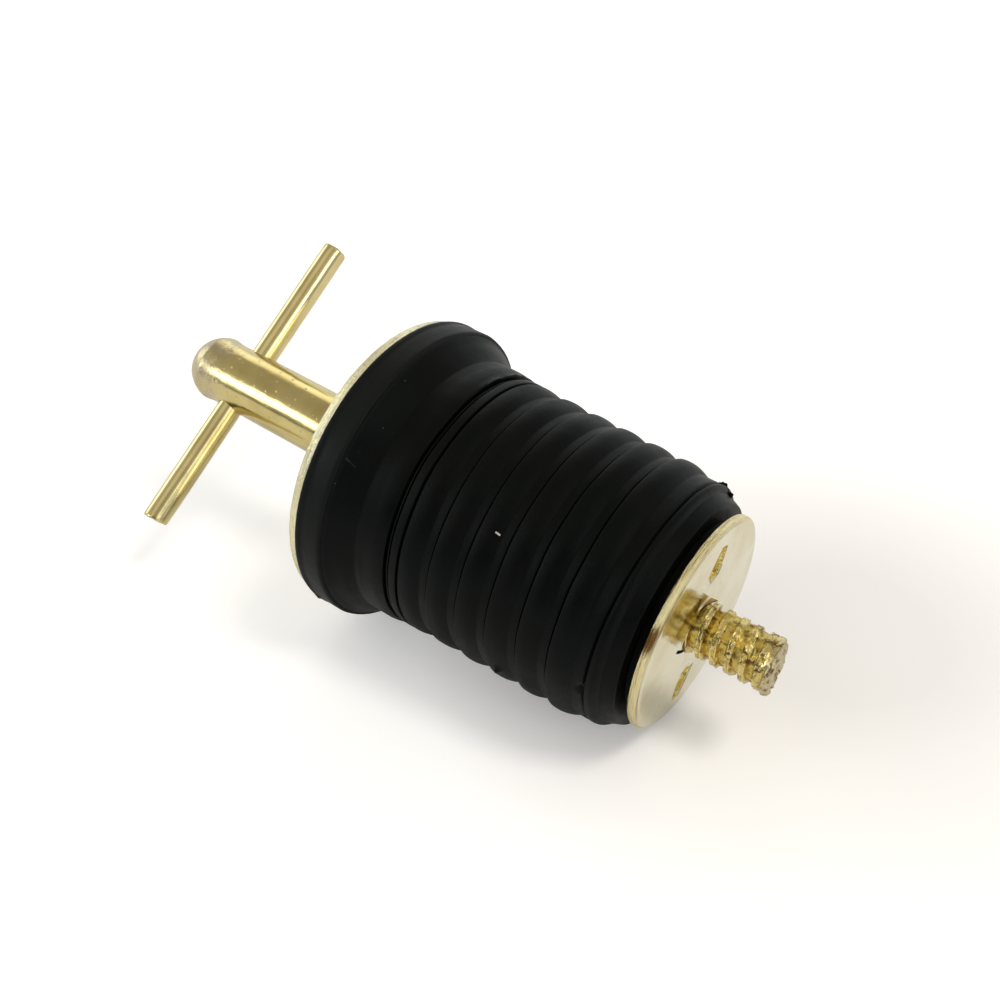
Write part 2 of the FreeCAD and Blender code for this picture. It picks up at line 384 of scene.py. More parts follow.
def bar(name, sides):
    """A closed bar from the four lines of points along it."""
    rows = len(sides[0])
    last = 4 * (rows - 1)
    faces = grid_faces(rows, 4) + [(0, 1, 2, 3), (last, last + 1, last + 2, last + 3)]
    return scratch_object(name, np.stack(sides, axis=1).reshape(-1, 3), faces)


def finish_object(name, mesh, turn, body, node, material):
    """A piece from a local mesh: it keeps its local place in an attribute for its material."""
    place = mesh.attributes.new("place", "FLOAT_VECTOR", "POINT")
    local = np.zeros(len(mesh.vertices) * 3, np.float32)
    mesh.vertices.foreach_get("co", local)
    place.data.foreach_set("vector", local)
    mesh.transform(screw_frame(turn))
    mesh.shade_smooth()
    mesh.set_sharp_from_angle(angle=math.radians(SHARP_ANGLE))
    piece = linked(name, mesh)
    mesh.materials.append(material)
    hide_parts(node)
    if body:
        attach(piece, body)
    return piece


def placed(stations, radii, turn):
    """Points from stations, radii and turns about the screw, in radians."""
    points = np.stack([radii * np.cos(turn), radii * np.sin(turn), stations], axis=-1)
    return points.reshape(-1, 3)


def spun(points, angle):
    """Points turned about the screw by an angle."""
    cosine, sine = math.cos(math.radians(angle)), math.sin(math.radians(angle))
    x = points[:, 0] * cosine - points[:, 1] * sine
    y = points[:, 0] * sine + points[:, 1] * cosine
    return np.column_stack([x, y, points[:, 2]])


def turned(path, columns, shape=None):
    """Points and faces of an outline turned about Z. The shape function may move the points."""
    angles = np.tile(np.arange(columns) * 360 / columns, len(path))
    turn = np.radians(angles)
    stations = np.repeat(path[:, 0], columns)
    radii = np.repeat(path[:, 1], columns)
    if shape:
        stations, radii = shape(placed(stations, radii, turn), stations, radii, angles)
    return placed(stations, radii, turn), grid_faces(len(path), columns)


def applied(piece):
    """The piece's mesh with its modifiers applied. The piece itself is removed."""
    depsgraph = bpy.context.evaluated_depsgraph_get()
    mesh = bpy.data.meshes.new_from_object(piece.evaluated_get(depsgraph))
    bpy.data.objects.remove(piece)
    return mesh


def combine(piece, other, operation):
    """Cuts or adds another closed mesh, and removes it."""
    modifier = piece.modifiers.new("combine", "BOOLEAN")
    modifier.operation = operation
    modifier.solver = "EXACT"
    modifier.object = other
    result = linked(piece.name, applied(piece))
    bpy.data.objects.remove(other)
    return result


def merged(pieces):
    """One mesh that holds the meshes of several scratch objects, which are removed."""
    bm = bmesh.new()
    for piece in pieces:
        bm.from_mesh(piece.data)
        bpy.data.objects.remove(piece)
    mesh = bpy.data.meshes.new("merged")
    bm.to_mesh(mesh)
    bm.free()
    return mesh


# Material helpers

class Tree:
    """Shorthands for the nodes of a material or of the world."""

    def __init__(self, tree):
        self.tree = tree

    def add(self, kind, **inputs):
        node = self.tree.nodes.new(kind)
        for name, value in inputs.items():
            self.set(node.inputs[name], value)
        return node

    def set(self, socket, value):
        """Links another node's output, or sets a number, a vector or a colour."""
        if isinstance(value, bpy.types.NodeSocket):
            self.tree.links.new(value, socket)
        elif socket.type == "RGBA":
            socket.default_value = (*value, 1)
        else:
            socket.default_value = value

    def operate(self, kind, operation, *values):
        node = self.tree.nodes.new(kind)
        node.operation = operation
        for socket, value in zip(node.inputs, values):
            self.set(socket, value)
        return node.outputs["Value"]

    def math(self, operation, first, second):
        return self.operate("ShaderNodeMath", operation, first, second)

    def plus(self, first, second):
        return self.math("ADD", first, second)

    def times(self, first, second):
        return self.math("MULTIPLY", first, second)

    def measure(self, operation, *vectors):
        """A number from one or two vectors, such as the distance between them."""
        return self.operate("ShaderNodeVectorMath", operation, *vectors)

    def ramp(self, value, low, high, start=0.0, end=1.0, interpolation="LINEAR"):
        """Maps a value's range to another, and holds it there."""
        node = self.add("ShaderNodeMapRange", Value=value)
        node.interpolation_type = interpolation
        names = ("From Min", "From Max", "To Min", "To Max")
        for name, number in zip(names, (low, high, start, end)):
            self.set(node.inputs[name], number)
        return node.outputs["Result"]

    def mix(self, share, first, second):
        """A colour between two colours."""
        node = self.tree.nodes.new("ShaderNodeMix")
        node.data_type = "RGBA"
        for name, value in (("Factor", share), ("A", first), ("B", second)):
            self.set(node.inputs[name], value)
        return node.outputs["Result"]


class Nodes(Tree):
    """A material's nodes around one Principled shader."""

    def __init__(self, name):
        self.material = bpy.data.materials.new(name)
        self.material.use_nodes = True
        super().__init__(self.material.node_tree)
        self.shader = self.tree.nodes["Principled BSDF"]
        attribute = self.add("ShaderNodeAttribute")
        attribute.attribute_name = "place"
        self.place = attribute.outputs["Vector"]

    def shade(self, **inputs):
        """Sets the shader's inputs, with underscores for the spaces in their names."""
        for name, value in inputs.items():
            self.set(self.shader.inputs[name.replace("_", " ")], value)

    def stretched(self, scale):
        """The local place with each axis scaled, for streaks."""
        return self.add("ShaderNodeMapping", Vector=self.place, Scale=scale).outputs["Vector"]

    def station(self):
        """The local place's distance along the screw."""
        return self.add("ShaderNodeSeparateXYZ", Vector=self.place).outputs["Z"]

    def radius(self):
        """The local place's distance from the screw's axis."""
        return self.measure("LENGTH", self.stretched((1, 1, 0)))

    def distance(self, place):
        """Distance in millimetres from a local place."""
        return self.measure("DISTANCE", self.place, place)

    def around(self, along, across):
        """The place as a turn about the screw, a radius and a station, for streaks along a rim."""
        split = self.add("ShaderNodeSeparateXYZ", Vector=self.place).outputs
        turn = self.times(self.math("ARCTAN2", split["Y"], split["X"]), along)
        out = self.times(self.radius(), across)
        along_screw = self.times(split["Z"], across)
        return self.add("ShaderNodeCombineXYZ", X=turn, Y=out, Z=along_screw).outputs["Vector"]

    def spots(self, places, inner, outer):
        """1 near any of some places, fading to 0 at the outer distance."""
        shares = [self.ramp(self.distance(place), inner, outer, 1, 0) for place in places]
        whole = shares[0]
        for share in shares[1:]:
            whole = self.math("MAXIMUM", whole, share)
        return whole

    def noise(self, scale, detail=3.0, roughness=0.5, vector=None):
        """Clouds of values around a half."""
        node = self.add("ShaderNodeTexNoise", Vector=vector or self.place, Scale=scale,
                        Detail=detail, Roughness=roughness)
        return node.outputs["Fac"]

    def cells(self, scale):
        """Distance to scattered points."""
        return self.add("ShaderNodeTexVoronoi", Vector=self.place, Scale=scale).outputs["Distance"]

    def bump(self, height, depth, normal=None):
        """Surface relief: height from 0 to 1, depth in millimetres."""
        node = self.add("ShaderNodeBump", Height=height, Distance=depth * MM)
        if normal:
            self.set(node.inputs["Normal"], normal)
        return node.outputs["Normal"]


def dotted(corners, gap):
    """Places along a broken line, no further apart than the gap."""
    path = divided([np.array(corner, float) for corner in corners], gap)
    return [tuple(place) for place in path.tolist()]


def brass(name, pale, dark, shine, streak, streak_depth, pit_depth, extras=()):
    """Worn brass: cloudy tarnish, fine streaks and small pits.

    shine is its least and greatest roughness. The extras change its colour, roughness and normal.
    """
    nodes = Nodes(name)
    tarnish = nodes.ramp(nodes.noise(0.22, detail=5), 0.42, 0.68)
    streaks = nodes.noise(1.0, detail=4, roughness=0.65, vector=nodes.stretched(streak))
    grain = nodes.noise(5.0, detail=3)
    pits = nodes.ramp(nodes.cells(1.1), 0.05, 0.16)
    colour = nodes.mix(tarnish, pale, dark)
    colour = nodes.mix(nodes.ramp(pits, 0, 1, 0.55, 0), colour, dark)
    normal = nodes.bump(streaks, streak_depth)
    normal = nodes.bump(grain, streak_depth * 0.5, normal)
    normal = nodes.bump(pits, pit_depth, normal)
    wear = nodes.plus(nodes.times(streaks, 0.6), nodes.times(grain, 0.4))
    roughness = nodes.ramp(wear, 0.3, 0.7, *shine)
    for extra in extras:
        colour, roughness, normal = extra(nodes, colour, roughness, normal)
    nodes.shade(Base_Color=colour, Metallic=1.0, Normal=normal, Roughness=roughness)
    return nodes.material


def tarnished_head(nodes, colour, roughness, normal):
    """The head is browner and duller than the shank, with a ragged border and dents."""
    border = nodes.plus(nodes.station(), nodes.times(nodes.noise(0.45, detail=4), HEAD_BORDER_SWAY))
    mottled = nodes.ramp(nodes.noise(1.3, detail=4), 0.4, 0.65, 0.6, 1)
    head = nodes.times(nodes.ramp(border, *HEAD_BORDER, 1, 0), mottled)
    dents = nodes.times(nodes.ramp(nodes.cells(0.9), 0.1, 0.4), head)
    colour = nodes.mix(head, colour, HEAD_TARNISH)
    roughness = nodes.plus(roughness, nodes.times(head, 0.22))
    return colour, roughness, nodes.bump(dents, 0.05, normal)


def golden_thread(nodes, colour, roughness, normal):
    """The thread is golden, lumpy and dirty, with painted shade as a darker, deeper gold in its roots,
    and paler and shinier on its worn crests. Its end is pitted.
    """
    thread = nodes.ramp(nodes.station(), THREAD_START, THREAD_START + 1)
    peened = nodes.ramp(nodes.station(), THREAD_END - 0.2, THREAD_END + 0.3)
    crest = nodes.ramp(nodes.radius(), *CREST_BORDER)
    # Painted shade: the roots are a darker, deeper gold than the worn crests
    golden = nodes.mix(crest, SHADED_ROOT_GOLD, CREST_GOLD)
    colour = nodes.mix(thread, colour, nodes.mix(peened, golden, PEENED_BRASS))
    dirt = nodes.ramp(nodes.noise(1.1, detail=4, roughness=0.65), 0.52, 0.64)
    colour = nodes.mix(nodes.times(thread, dirt), colour, THREAD_DIRT)
    pits = nodes.ramp(nodes.cells(1.6), 0.12, 0.2, 1, 0)
    colour = nodes.mix(nodes.times(pits, peened), colour, PEENED_PIT)
    lumps = nodes.noise(1.1, detail=1.5, roughness=0.45)
    normal = nodes.bump(nodes.times(lumps, thread), 0.28, normal)
    duller = nodes.times(thread, nodes.ramp(crest, 0, 1, 0.16, 0.05))
    duller = nodes.plus(duller, nodes.times(peened, 0.12))
    return colour, nodes.plus(roughness, duller), normal


def sheared_sheet(nodes, colour, roughness, normal):
    """What the washer and the end plate share: sheared rims with streaks along them."""
    end_plate = nodes.ramp(nodes.station(), *END_PLATE_BORDER)
    washer_rim = nodes.ramp(nodes.radius(), *WASHER_RIM_BORDER)
    rim = nodes.mix(end_plate, washer_rim, nodes.ramp(nodes.radius(), *PLATE_RIM_BORDER))
    streaks = nodes.noise(1.0, detail=4, roughness=0.6, vector=nodes.around(3.5, 4.0))
    colour = nodes.mix(rim, colour, rim_colour(nodes, streaks, end_plate))
    # The slots get a painted golden reflection
    colour, slot = slots_painted_golden(nodes, colour, end_plate)
    roughness = nodes.plus(roughness, nodes.times(nodes.plus(rim, slot), 0.08))
    normal = nodes.bump(nodes.times(nodes.noise(1.6, detail=3), slot), 0.3, normal)
    normal = nodes.bump(nodes.times(streaks, rim), 0.3, normal)
    specks = nodes.noise(3.4, detail=4, roughness=0.7)
    normal = nodes.bump(nodes.times(specks, rim), 0.05, normal)
    shred = nodes.spots(dotted(SHRED_CORNERS, 0.28), 0.18, 0.27)
    colour = nodes.mix(shred, colour, SHRED_BLACK)
    return colour, nodes.math("MAXIMUM", roughness, nodes.times(shred, 0.9)), normal


def rim_colour(nodes, streaks, end_plate):
    """Cream on the washer's rim with dull specks, and golden on the end plate's, with a painted dark
    reflection there.
    """
    brown = nodes.ramp(streaks, 0.5, 0.72)
    golden = nodes.mix(brown, RIM_GOLD, RIM_BROWN)
    # Painted dark reflection: a brown-black patch on the end plate's rim around one place
    dark_reflection = nodes.plus(nodes.distance(DARK_REFLECTION_PLACE), nodes.times(streaks, 3.5))
    golden = nodes.mix(nodes.ramp(dark_reflection, *DARK_REFLECTION_BORDER, 1, 0), golden, RIM_DARK_REFLECTION)
    cream = nodes.mix(brown, WASHER_CREAM, WASHER_BROWN)
    specks = nodes.ramp(nodes.noise(2.2, detail=4, roughness=0.7), 0.60, 0.68)
    return nodes.mix(end_plate, nodes.mix(specks, cream, WASHER_SPECK), golden)


def slots_painted_golden(nodes, colour, end_plate):
    """A painted golden reflection below the end plate's face, in its slots, and brown on the burr
    above it.
    """
    face = BUNG_LENGTH + PLATE_THICKNESS
    deep = nodes.times(nodes.ramp(nodes.station(), face - 0.06, face - 0.16), end_plate)
    slot = nodes.times(deep, nodes.ramp(nodes.radius(), *SLOT_BORDER, 1, 0))
    # Painted reflection: the slots and the walls below the face are coloured golden
    colour = nodes.mix(slot, colour, SLOT_PAINTED_REFLECTION)
    burr = nodes.ramp(nodes.station(), face + 0.05, face + 0.2)
    return nodes.mix(burr, colour, BURR_BROWN), slot


def black_rubber():
    """Moulded rubber: nearly black, satin, faintly clouded, with dust, a scratch and a pale sliver,
    and a painted sheen of lighter grey on the flange.
    """
    nodes = Nodes("black_rubber")
    clouds = nodes.noise(0.16, detail=5, roughness=0.6)
    bands = nodes.noise(1.0, detail=3, vector=nodes.stretched((0.05, 0.05, 0.9)))
    colour = nodes.mix(nodes.ramp(clouds, 0.35, 0.7), RUBBER_COOL, RUBBER_WARM)
    # Painted sheen: the flange is coloured a lighter grey than the rest of the rubber
    flange = nodes.ramp(nodes.station(), FLANGE_END - 0.2, FLANGE_END + 0.3, 1, 0)
    colour = marked_rubber(nodes, nodes.mix(flange, colour, FLANGE_PAINTED_SHEEN))
    grain = nodes.noise(3.2, detail=6, roughness=0.6)
    rubbed = nodes.noise(0.9, detail=4)
    normal = nodes.bump(rubbed, 0.02, nodes.bump(grain, 0.018))
    wear = nodes.plus(nodes.times(clouds, 0.5), nodes.times(bands, 0.5))
    roughness = nodes.ramp(wear, 0.35, 0.65, 0.36, 0.52)
    nodes.shade(Base_Color=colour, Normal=normal, Roughness=roughness)
    nodes.shade(Specular_Tint=RUBBER_SHEEN, Specular_IOR_Level=RUBBER_SPECULAR)
    return nodes.material


def marked_rubber(nodes, colour):
    """The rubber's colour with its marks, and with a little dust here and there."""
    scratch = nodes.spots(dotted(SCRATCH_CORNERS, 0.16), 0.05, 0.13)
    marks = nodes.math("MAXIMUM", nodes.spots(DUST_PLACES, 0.05, 0.11), scratch)
    colour = nodes.mix(marks, colour, MARK_GREY)
    colour = nodes.mix(nodes.spots(FLECK_PLACES, 0.07, 0.13), colour, FLECK_WHITE)
    dust = nodes.ramp(nodes.cells(0.42), 0.0, 0.045, 1, 0)
    rare = nodes.ramp(nodes.noise(0.35, detail=1), 0.58, 0.62)
    return nodes.mix(nodes.times(dust, rare), colour, DUST_GREY)


# Screw: head, shank and rod as one turned shell, the thread as a helical shell, and the peened end

def dome(top, height, radius, count):
    """Corners of a dome that is level at its top, from the screw's axis to the dome's rim."""
    sphere = (radius ** 2 + height ** 2) / (2 * height)
    angles = np.linspace(0, math.asin(radius / sphere), count)
    return [(top + sphere * (1 - math.cos(angle)), sphere * math.sin(angle), 0) for angle in angles]


def shank_path():
    dome_end = HEAD_DOME_HEIGHT - HANDLE_HEIGHT
    shoulder = -WASHER_THICKNESS - SHOULDER_GAP
    corners = dome(-HANDLE_HEIGHT, HEAD_DOME_HEIGHT, HEAD_RADIUS, 24)[:-1]
    corners += [
        (dome_end, HEAD_RADIUS, 0.3),
        (dome_end + HEAD_STEP_LENGTH, HEAD_RADIUS - 0.04, 0.3),
        (dome_end + 4 * HEAD_STEP_LENGTH, SHANK_RADIUS - 0.06, 0.6),
        (dome_end + 5.0, SHANK_RADIUS, 2.0),
        (shoulder, SHANK_RADIUS, 0.12),
        (shoulder, ROD_RADIUS, 0),
        (THREAD_START + 0.3, ROD_RADIUS, 0.2),
        (THREAD_START + 0.3, 0, 0),
    ]
    return rounded_path(corners, 0.35)


def worn_shank(points, stations, radii, angles):
    """The turned surface, a few hundredths out of true."""
    outside = radii > ROD_RADIUS + 0.2
    uneven = 0.02 * noise(points, 2.6, 1) + 0.008 * noise(points, 0.7, 2)
    return stations, radii + np.where(outside, uneven - 0.02, 0)


def thread_form(growth, seam):
    """One pitch of the thread from root to root: (place along the screw, share of the full height).

    seam is how far the middle of a crest sinks, where rolling closed it.
    """
    crest = THREAD_CREST_WIDTH / 2 + growth
    base = THREAD_BASE_WIDTH / 2 + growth
    half = THREAD_PITCH / 2
    flank = [
        (crest - 0.17, 1 - seam),
        (crest - 0.07, 1),
        (crest + 0.02, 0.92),
        ((crest + base) / 2, 0.5),
        (base, 0),
        (half * 0.8, 0.02),
    ]
    mirrored = [(-place, height) for place, height in reversed(flank)]
    return [(-half, 0.06), *mirrored, (0, 1 - 1.3 * seam), *flank]


def thread_shell(start, end, growth, columns, worn):
    """A helical thread between two stations, grown all round. Its flat ends are left to be filled."""
    form = thread_form(growth, THREAD_SEAM if worn else 0)
    turns = np.arange(math.floor(start / THREAD_PITCH) - 2, math.ceil(end / THREAD_PITCH) + 2)
    offsets, heights = np.tile(np.transpose(form), len(turns))
    rows = np.repeat(turns, len(form)) * THREAD_PITCH + offsets
    columns_at = np.arange(columns + 1)
    stations = rows[:, None] + THREAD_PITCH * columns_at[None, :] / columns
    height = np.repeat(heights[:, None], columns + 1, axis=1)
    fade = np.clip(np.minimum(stations - start, end - stations) / THREAD_RUNOUT, 0, 1)
    depth = THREAD_CREST_RADIUS - THREAD_ROOT_RADIUS
    radii = THREAD_ROOT_RADIUS + growth + height * fade * depth
    turn = 2 * np.pi * columns_at[None, :] / columns + math.radians(THREAD_PHASE)
    if worn:
        stations, radii = worn_thread(stations, radii, turn, height)
    points = placed(np.clip(stations, start, end), radii, turn)
    faces = grid_faces(len(rows), columns + 1, closed=False)
    ends = points[np.array(faces), 2]
    inside = (ends > start).any(axis=1) & (ends < end).any(axis=1)
    return points, [face for face, kept in zip(faces, inside) if kept]


def worn_thread(stations, radii, turn, height):
    """Burred crests, and beyond the end plate's reach roots that are choked with crushed metal."""
    points = placed(stations, radii, turn)
    sizes_and_seeds = ((0.34, 11), (0.9, 12), (0.5, 13))
    rough, broad, chips = (noise(points, *pair).reshape(radii.shape) for pair in sizes_and_seeds)
    chips = np.clip(chips - 0.25, 0, 1)
    crest = np.clip(height, 0, 1)
    crushed = np.clip((stations - CRUSHED_START) / 0.8, 0, 1)
    facing = np.cos(turn - math.radians(CRUSHED_ANGLE))
    fill = crushed * CRUSHED_FILL * (1 + 0.8 * facing + 0.6 * broad)
    fill = fill + 0.35 * np.clip((stations - THREAD_END + 1.1) / 0.7, 0, 1)
    radii = radii + (1 - crest) * np.clip(fill, 0, 0.6)
    lost = 0.3 * chips + 0.05 * crushed * (1 + facing)
    radii = radii + 0.06 * rough + 0.05 * broad - crest * lost - 0.05
    stations = stations + (0.03 + 0.05 * crushed) * (rough + broad) * crest
    return stations, radii


def peened_path():
    corners = [
        (THREAD_END - 0.1, 0, 0),
        (THREAD_END - 0.1, PEENED_RADIUS - 0.35, 0.1),
        (THREAD_END + 0.2, PEENED_RADIUS, 0.2),
        (THREAD_END + PEENED_LENGTH, PEENED_RADIUS - 0.2, 0.55),
        (THREAD_END + PEENED_LENGTH - 0.1, PEENED_RADIUS - 1.1, 0.3),
        (THREAD_END + PEENED_LENGTH - 0.3, 0, 0),
    ]
    return rounded_path(corners, 0.1)


def peened_shape(points, stations, radii, angles):
    """A hammered end: a lumpy rim and a torn hollow face."""
    rim = near(radii, PEENED_RADIUS, 1.6)
    face = np.clip((stations - THREAD_END - 0.3) / 0.3, 0, 1)
    lean = np.cos(np.radians(angles - PEENED_LEAN_ANGLE)) * rim
    radii = radii * (1 + 0.03 * noise(points, 1.2, 21)) + PEENED_LEAN * lean
    radii = radii + 0.08 * rim * noise(points, 0.5, 22)
    stations = stations + face * PEENED_LEAN * lean
    pits = np.clip(noise(points, 0.5, 25) - 0.3, 0, 1)
    dents = 0.12 * noise(points, 0.9, 23) + 0.08 * noise(points, 0.35, 24) - 0.12 - 0.7 * pits
    return stations + face * dents, radii


def handle_screw(material):
    shank = scratch_object("shank", *turned(shank_path(), SHANK_COLUMNS, worn_shank))
    shell = pin_shell(PIN_RADIUS + PIN_CLEARANCE, 10)
    shank = combine(shank, scratch_object("pin_hole", *shell), "DIFFERENCE")
    shell = thread_shell(THREAD_START - 0.5, THREAD_END + 0.2, 0, THREAD_COLUMNS, worn=True)
    thread = scratch_object("thread", *shell, fill=True)
    peened = scratch_object("peened", *turned(peened_path(), THREAD_COLUMNS, peened_shape))
    mesh = merged([shank, thread, peened])
    return finish_object("screw_with_shank", mesh, HANDLE_TURN, "screw", "handle_screw",
                         material)


# Cross pin

def along_pin(points):
    """Turns points made along Z to lie along X, through the head."""
    return np.column_stack([points[:, 2], points[:, 1], PIN_STATION - points[:, 0]])


def pin_shell(radius, reach):
    """A plain closed cylinder along the pin's axis."""
    corners = ((-reach, 0), (-reach, radius), (reach, radius), (reach, 0))
    path = divided([np.array(corner, float) for corner in corners], 1.2)
    points, faces = turned(path, PIN_HOLE_COLUMNS)
    return along_pin(points), faces


def sheared_pin(points, stations, radii, angles):
    """A drawn wire with slightly flattened, sheared ends."""
    half = PIN_LENGTH / 2
    end = near(np.abs(stations), half, 1.3)
    radii = radii + 0.012 * noise(points, 1.5, 31) - 0.012
    radii = radii * (1 + 0.035 * end * np.cos(np.radians(angles * 2 + 40)))
    lean = 0.07 * radii * np.cos(np.radians(angles - 60)) + 0.05 * noise(points, 0.6, 32) - 0.1
    stations = stations + near(np.abs(stations), half, 0.6) * lean * np.sign(stations)
    return stations, radii


def cross_pin(material):
    half = PIN_LENGTH / 2
    corners = [
        (-half, 0, 0),
        (-half, PIN_RADIUS - 0.12, 0.08),
        (-half + 0.2, PIN_RADIUS, 0.12),
        (half - 0.2, PIN_RADIUS, 0.12),
        (half, PIN_RADIUS - 0.12, 0.08),
        (half, 0, 0),
    ]
    points, faces = turned(rounded_path(corners, 0.4), PIN_COLUMNS, sheared_pin)
    mesh = closed_mesh("t_handle_pin", along_pin(points), faces)
    return finish_object("t_handle_pin", mesh, HANDLE_TURN, "screw", "cross_pin",
                         material)


# Top washer

def burred_washer(points, stations, radii, angles):
    """The washer with a slightly uneven rim and face."""
    edge = near(radii, WASHER_RADIUS, 0.5)
    radii = radii + edge * (0.015 * noise(points, 0.5, 41) - 0.015)
    return stations + 0.01 * noise(points, 3.0, 42) * (stations < -0.3), radii


def top_washer(material):
    hole, rim, top = WASHER_HOLE_RADIUS, WASHER_RADIUS, -WASHER_THICKNESS
    corners = [
        (top / 2, hole, 0),
        (top, hole, 0.1),
        (top, rim, 0.22),
        (0, rim, 0.1),
        (0, hole, 0.1),
        (top / 2, hole, 0),
    ]
    points, faces = turned(rounded_path(corners, 0.5), WASHER_COLUMNS, burred_washer)
    mesh = closed_mesh("top_washer_disc", points, faces)
    return finish_object("top_washer_disc", mesh, 0, "bung", "top_washer", material)


# End plate: a stamped disc with two lanced slots, their prongs and a tapped hole

def slot_placed(points, side):
    """Moves points made along X at the origin to a slot, on either side of the screw."""
    moved = spun(points, SLOT_ANGLE) + (*SLOT_BASE, BUNG_LENGTH)
    return moved * (side, side, 1)


def slot_cutter(side):
    """The leaf-shaped opening that a prong was lanced from."""
    levels = (SLOT_FLOOR, PLATE_THICKNESS + 0.4)
    points = np.array([(x, y, level) for level in levels for x, y in SLOT_CORNERS])
    return scratch_object("slot", slot_placed(points, side), prism_faces(len(SLOT_CORNERS)))


def prong_shell(side, growth):
    """The bent tab of a slot, grown all round. It narrows towards its tip."""
    outer, inner, tip = PLATE_THICKNESS + growth, -growth, -PRONG_LENGTH - growth
    bend = np.radians(np.linspace(90, 0, 9))
    side_line = [(outer * math.cos(turn), outer * math.sin(turn)) for turn in bend]
    side_line += [(outer, tip), (inner, tip), (inner, 0)]
    points = []
    for sign in (-1, 1):
        for x, z in side_line:
            share = min(max(-z / PRONG_LENGTH, 0), 1)
            width = PRONG_ROOT_WIDTH + share * (PRONG_TIP_WIDTH - PRONG_ROOT_WIDTH)
            points.append((x, sign * (width / 2 + growth), z))
    return slot_placed(np.array(points), side), prism_faces(len(side_line))


def dished_plate(points, stations, radii, angles):
    """The stamped disc: its face and rim are a hundredth or two out of true."""
    face = np.clip((stations - BUNG_LENGTH) / PLATE_THICKNESS, 0, 1)
    edge = near(radii, PLATE_RADIUS, 1.0)
    stations = stations - 0.012 * face * edge * (1 + noise(points, 0.8, 51))
    return stations, radii - 0.01 * edge * (1 + noise(points, 0.6, 52))


def burr_fin():
    """A fin that rises along the rim of the tapped hole, and leans outwards towards its tip."""
    share = np.linspace(0, 1, BURR_ROWS)
    angles = np.radians(BURR_ANGLES[0] + share * (BURR_ANGLES[1] - BURR_ANGLES[0]))
    face = BUNG_LENGTH + PLATE_THICKNESS
    sides = []
    for outward, risen in ((0, 0), (0, 1), (1, 1), (1, 0)):
        radii = BURR_RADIUS + outward * BURR_THICKNESS + risen * BURR_LEAN * share
        stations = face - 0.2 + risen * (0.2 + BURR_HEIGHT * share ** 1.4)
        sides.append(placed(stations, radii, angles))
    return bar("burr", sides)


def end_plate(material):
    low, high, rim = BUNG_LENGTH, BUNG_LENGTH + PLATE_THICKNESS, PLATE_RADIUS
    corners = [
        (low, 0, 0),
        (low, rim, 0.12),
        (high - 0.35, rim, 0.2),
        (high - 0.05, rim - 0.45, 0.35),
        (high, rim - 1.2, 0.3),
        (high, 0, 0),
    ]
    plate = scratch_object("plate", *turned(rounded_path(corners, 0.6), PLATE_COLUMNS, dished_plate))
    for side in (1, -1):
        plate = combine(plate, slot_cutter(side), "DIFFERENCE")
        plate = combine(plate, scratch_object("prong", *prong_shell(side, 0)), "UNION")
    shell = thread_shell(low - 1, high + 1, TAPPED_CLEARANCE, TAPPED_COLUMNS, worn=False)
    plate = combine(plate, scratch_object("tapped", *shell, fill=True), "DIFFERENCE")
    bevel = plate.modifiers.new("bevel", "BEVEL")
    bevel.width = PLATE_BEVEL
    bevel.segments = 2
    bevel.limit_method = "ANGLE"
    bevel.angle_limit = math.radians(PLATE_BEVEL_ANGLE)
    mesh = merged([linked("pressed", applied(plate)), burr_fin()])
    return finish_object("end_plate_stamping", mesh, HANDLE_TURN, "plate", "end_plate",
                         material)


# Rubber bung

def rib_radius(index):
    return FIRST_RIB_RADIUS + index / (RIB_COUNT - 1) * (LAST_RIB_RADIUS - FIRST_RIB_RADIUS)


def flange_corners():
    edge = (FLANGE_END - FLANGE_EDGE_ROUND, FLANGE_RADIUS)
    heel = (FLANGE_END, FLANGE_RADIUS - FLANGE_EDGE_ROUND)
    lip_bulge = (LIP_RADIUS - FLANGE_RADIUS) / 2
    corners = [(1.0, BORE_RADIUS, 0), (0, BORE_RADIUS, 0.1), (0, FLANGE_RADIUS, 0.06)]
    corners += bulged((0, FLANGE_RADIUS), (LIP_HEIGHT, FLANGE_RADIUS), lip_bulge, 6)
    corners.append((*edge, 0))
    corners += bulged(edge, heel, FLANGE_EDGE_ROUND * (1 - math.sqrt(0.5)), 5)
    corners += bulged(heel, (SHOULDER_END, NECK_RADIUS), -SHOULDER_HOLLOW, 12)[:-1]
    corners += [(SHOULDER_END, NECK_RADIUS, 0.12), (NECK_END, NECK_RADIUS, 0)]
    taper_end = (SLIT_STARTS[0], FIRST_RIB_RADIUS)
    return corners + bulged((NECK_END, NECK_RADIUS), taper_end, NECK_EDGE_ROUND, 6)[:-1]


def slit_corners():
    """Two fine slits that narrow towards the bottom, with a low web between them."""
    bottom = FIRST_RIB_RADIUS - SLIT_DEPTH
    web = (FIRST_RIB_RADIUS - SLIT_WEB_DROP, 0.04)
    sides = (((FIRST_RIB_RADIUS, 0.05), web), (web, (FIRST_RIB_RADIUS, 0.06)))
    corners = []
    for start, (before, after) in zip(SLIT_STARTS, sides):
        end = start + SLIT_WIDTH
        corners += [(start, *before), (start + SLIT_TAPER, bottom, 0.05)]
        corners += [(end - SLIT_TAPER, bottom, 0.05), (end, *after)]
    return corners


